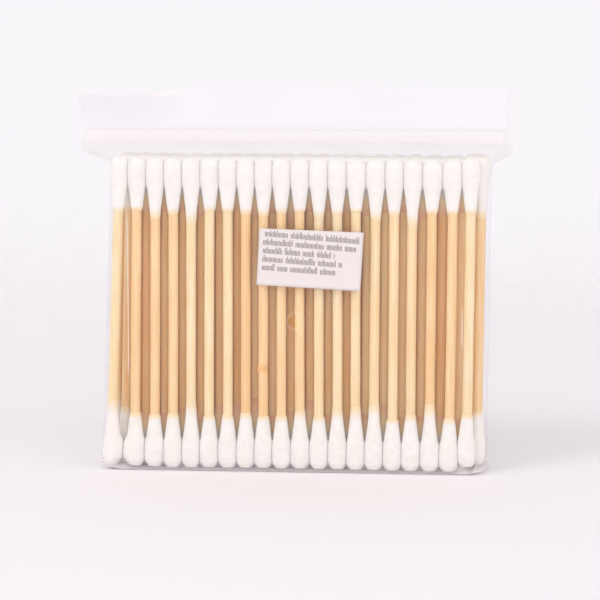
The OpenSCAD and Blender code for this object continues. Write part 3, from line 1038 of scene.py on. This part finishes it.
def makePrint():
    # Greeked lines: rows of small upright strokes in word-long groups, which spell nothing
    s = labelSettings
    draw = random.Random(7)
    width = (corners["topRight"] - corners["topLeft"]).length
    height = (corners["topLeft"] - corners["bottomLeft"]).length
    points, faces = [], []

    def stroke(x, low, high, drop):
        start = len(points)
        for px, pz in ((x, low), (x + s["strokeWidth"], low), (x + s["strokeWidth"], high), (x, high)):
            points.append(onLabel(px / width, (pz - drop * x) / height, 0.012 * mm))
        faces.append((start, start + 1, start + 2, start + 3))

    for line, length in enumerate(s["lineLengths"]):
        base = height - s["firstLine"] - s["lineStep"] * line - 0.5 * mm
        x = s["margin"] + (0 if line else 0.3 * mm)
        end = x + length * mm
        drop = mix(*s["slant"], line / (len(s["lineLengths"]) - 1))
        while x < end:
            for k in range(draw.randint(*s["wordStrokes"])):
                if x > end:
                    break
                tall = draw.choice(s["strokeHeights"]) * mm
                stroke(x, base, base + tall, drop)
                x += s["strokeStep"]
            x += s["wordGap"]
    meshPiece("labelPrint", points, faces, toner)


makeLabel()
makePrint()
print("label made")


# Floor, light and camera

stageSettings = {
    "floorRadius": 1.6,
    "fadeFrom": 0.15,
    "fadeTo": 0.55,
    "floorColour": "#F9F6FB",
    "glow": 2.5 * mm,           # how far light spreads inside the sheet
    "drop": 0.1 * mm,           # the floor lies this much under the bag's film
    "backColour": "#F9F6FA",
    "worldColour": "#FFFDFC",
    "worldLight": 0.77,
}
lampSettings = {
    "keyLight": {"place": (-0.75, -0.75, 0.95), "size": 0.55, "power": 4.3, "colour": "#FFFFFF"},
    "fillLight": {"place": (0.9, -0.7, 0.5), "size": 0.8, "power": 2, "colour": "#FFFDFD"},
    "frontLight": {"place": (0.1, -1.3, 0.17), "size": 0.8, "power": 2.3, "colour": "#FFFFFF"},
}


def opalFloor():
    # Matt opal acrylic sheet: white, and light spreads a little inside it
    material = emptyMaterial("mattOpalAcrylic")
    s = stageSettings
    place = addNode(material, "ShaderNodeTexCoord")
    far = addNode(material, "ShaderNodeVectorMath", {"operation": "LENGTH"},
                  links={0: place.outputs["Object"]})
    # The fade is grainy, so that no line shows where the denoiser stops taking it for a surface
    grain = addNode(material, "ShaderNodeTexWhiteNoise", links={"Vector": place.outputs["Object"]})
    spread = addNode(material, "ShaderNodeMapRange", inputs={"To Min": 0.7, "To Max": 1.3},
                     links={"Value": grain.outputs["Value"]})
    grainy = addNode(material, "ShaderNodeMath", {"operation": "MULTIPLY"},
                     links={0: far.outputs["Value"], 1: spread.outputs[0]})
    fade = addNode(material, "ShaderNodeMapRange", {"interpolation_type": "SMOOTHSTEP"},
                   {"From Min": s["fadeFrom"], "From Max": s["fadeTo"]}, {"Value": grainy.outputs[0]})
    shader = addNode(material, "ShaderNodeBsdfPrincipled", {"subsurface_method": "BURLEY"},
                     {"Base Color": linear(s["floorColour"]), "Roughness": 0.8,
                      "Specular IOR Level": 0, "Subsurface Weight": 1,
                      "Subsurface Radius": (1, 1, 1), "Subsurface Scale": s["glow"]})
    clear = addNode(material, "ShaderNodeBsdfTransparent")
    mixed = addNode(material, "ShaderNodeMixShader",
                    links={0: fade.outputs[0], 1: shader.outputs[0], 2: clear.outputs[0]})
    addNode(material, "ShaderNodeOutputMaterial", links={"Surface": mixed.outputs[0]})
    return material


def makeFloor():
    s = stageSettings
    mesh = bpy.data.meshes.new("floor")
    rim = [(s["floorRadius"] * math.cos(math.radians(a)), s["floorRadius"] * math.sin(math.radians(a)), 0)
           for a in range(0, 360, 6)]
    mesh.from_pydata(rim, [], [tuple(range(len(rim)))])
    mesh.materials.append(opalFloor())
    floor = bpy.data.objects.new("floor", mesh)
    scene.collection.objects.link(floor)
    floor.location.z = -s["drop"]


def makeWorld():
    # The world lights the bag with one strength, and is seen, mirrored or seen through with another colour
    s = stageSettings
    world = bpy.data.worlds.new("studio")
    world.use_nodes = True
    world.node_tree.nodes.clear()
    path = addNode(world, "ShaderNodeLightPath")
    lamp = addNode(world, "ShaderNodeBackground",
                   inputs={"Color": linear(s["worldColour"]), "Strength": s["worldLight"]})
    back = addNode(world, "ShaderNodeBackground", inputs={"Color": linear(s["backColour"])})
    seen = addNode(world, "ShaderNodeMath", {"operation": "MAXIMUM"},
                   links={0: path.outputs["Is Camera Ray"], 1: path.outputs["Is Glossy Ray"]})
    seenThrough = addNode(world, "ShaderNodeMath", {"operation": "MAXIMUM"},
                          links={0: seen.outputs[0], 1: path.outputs["Is Transmission Ray"]})
    both = addNode(world, "ShaderNodeMixShader",
                   links={0: seenThrough.outputs[0], 1: lamp.outputs[0], 2: back.outputs[0]})
    addNode(world, "ShaderNodeOutputWorld", links={"Surface": both.outputs[0]})
    scene.world = world


def softbox(name, place, size, power, colour):
    lamp = bpy.data.lights.new(name, "AREA")
    lamp.shape = "SQUARE"
    lamp.size = size
    lamp.energy = power
    lamp.color = linear(colour)[:3]
    box = bpy.data.objects.new(name, lamp)
    scene.collection.objects.link(box)
    box.location = place
    aim = Vector((0, 0, 0.04)) - Vector(place)
    box.rotation_euler = aim.to_track_quat("-Z", "Y").to_euler()


cameraSettings = {
    "target": (0.69 * mm, 0, 38 * mm),
    "yaw": 5,               # degrees to the right of the front's normal
    "elevation": 8,
    "distance": 0.7,
    "focalPixels": 2898.4,
    "imageSize": 600,
    "targetPixel": (297.91, 310.52),
}


def makeCamera():
    s = cameraSettings
    yaw, elevation = math.radians(s["yaw"]), math.radians(s["elevation"])
    away = Vector((math.sin(yaw) * math.cos(elevation), -math.cos(yaw) * math.cos(elevation),
                   math.sin(elevation)))
    lens = bpy.data.cameras.new("camera")
    lens.sensor_width = 36
    lens.lens = s["focalPixels"] / s["imageSize"] * lens.sensor_width
    lens.shift_x = (s["imageSize"] / 2 - s["targetPixel"][0]) / s["imageSize"]
    lens.shift_y = (s["targetPixel"][1] - s["imageSize"] / 2) / s["imageSize"]
    lens.clip_start = 0.05
    camera = bpy.data.objects.new("camera", lens)
    scene.collection.objects.link(camera)
    camera.location = Vector(s["target"]) + away * s["distance"]
    camera.rotation_euler = (-away).to_track_quat("-Z", "Y").to_euler()
    scene.camera = camera


makeFloor()
makeWorld()
for name, lamp in lampSettings.items():
    softbox(name, **lamp)
makeCamera()
scene.view_settings.view_transform = "Standard"
print("stage, lights and camera made")
